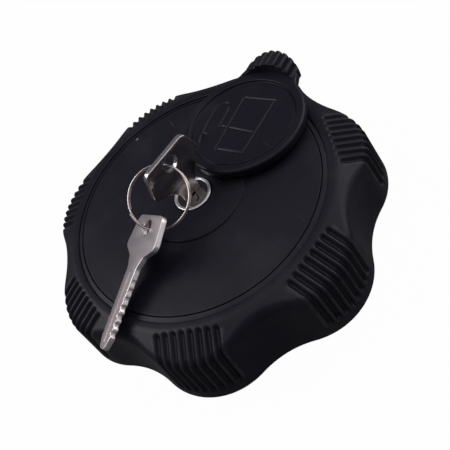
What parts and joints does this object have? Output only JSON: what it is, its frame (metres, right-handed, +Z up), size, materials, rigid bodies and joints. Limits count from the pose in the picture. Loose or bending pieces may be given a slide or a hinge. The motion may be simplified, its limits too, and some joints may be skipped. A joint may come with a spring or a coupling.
{
  "type": "fuel filler cap",
  "caption": "Locking fuel filler cap with ribbed lobed grip, domed top plate, open swing cover with pump pictogram, key standing in the lock and a spare key on the ring.",
  "frame": {"origin": "on the cap's axis, in the flat underside of the bayonet plate that the cap rests on", "axes": "+Z up along the cap's axis; the swing cover stands open towards +X, the spare key lies towards -X -Y"},
  "size_m": [0.1396, 0.14, 0.0668],
  "materials": {
    "shell_plastic": "satin blue-black moulded plastic",
    "plate_plastic": "satin black moulded plastic, fine grain",
    "cover_plastic": "satin black moulded plastic",
    "carrier_plastic": "glass-filled black plastic",
    "lock_metal": "bright plated zinc",
    "key_nickel": "nickel-plated, lightly brushed",
    "ring_nickel": "nickel-plated spring wire",
    "zinc_steel": "zinc-plated steel",
    "spring_steel": "plain spring steel",
    "brass": "stamped brass",
    "gasket_rubber": "matt black seal rubber"
  },
  "bodies": {
    "cap_body": {"grip_shell": "shell_plastic", "top_plate": "plate_plastic", "lock_housing": "lock_metal", "inner_carrier": "carrier_plastic", "carrier_screws": "zinc_steel", "bayonet_plate": "zinc_steel", "plate_screws": "zinc_steel", "pressure_spring": "spring_steel", "snap_ring": "spring_steel"},
    "cover": {"swing_cover": "cover_plastic", "cover_pivot_screw": "zinc_steel", "cover_spring_washer": "spring_steel"},
    "plug": {"lock_plug": "lock_metal", "wafer_tumblers": "brass", "cam_disc": "zinc_steel", "cam_screw": "zinc_steel"},
    "bolt": {"lock_bolt": "zinc_steel", "bolt_pin": "zinc_steel"},
    "key": {"key_in_lock": "key_nickel"},
    "ring": {"split_ring": "ring_nickel"},
    "spare": {"spare_key": "key_nickel"},
    "seal": {"pressure_plate": "zinc_steel", "gasket": "gasket_rubber"}
  },
  "joints": [
    {"name": "cover_swing", "type": "hinge", "parent": "cap_body", "child": "cover", "pos_m": [0.01743, 0.00245, 0.04203], "axis": [0.0566, 0.0178, 0.9982], "range_deg": [0, 32]},
    {"name": "key_turn", "type": "hinge", "parent": "cap_body", "child": "plug", "pos_m": [0, 0, 0.03], "axis": [0, 0, 1], "range_deg": [-90, 0]},
    {"name": "bolt_slide", "type": "slide", "parent": "cap_body", "child": "bolt", "axis": [1, 0, 0], "range_m": [-0.0081, 0]},
    {"name": "key_pull", "type": "slide", "parent": "plug", "child": "key", "axis": [0, 0, 1], "range_m": [0, 0.03]},
    {"name": "ring_swing", "type": "hinge", "parent": "key", "child": "ring", "pos_m": [0, 0, 0.0617], "axis": [-0.3074, 0.9516, 0], "range_deg": [0, 60]},
    {"name": "spare_swing", "type": "hinge", "parent": "ring", "child": "spare", "pos_m": [-0.02082, -0.01026, 0.05124], "axis": [0.5333, -0.7971, -0.2834], "range_deg": [-60, 0]},
    {"name": "seal_press", "type": "slide", "parent": "cap_body", "child": "seal", "axis": [0, 0, 1], "range_m": [0, 0.004], "stiffness_N_per_m": 4000, "springref_m": -0.002, "deforming": ["pressure_spring"]}
  ],
  "couplings": [
    {"joint": "bolt_slide", "follows": "key_turn", "m_per_rad": 0.005093}
  ]
}
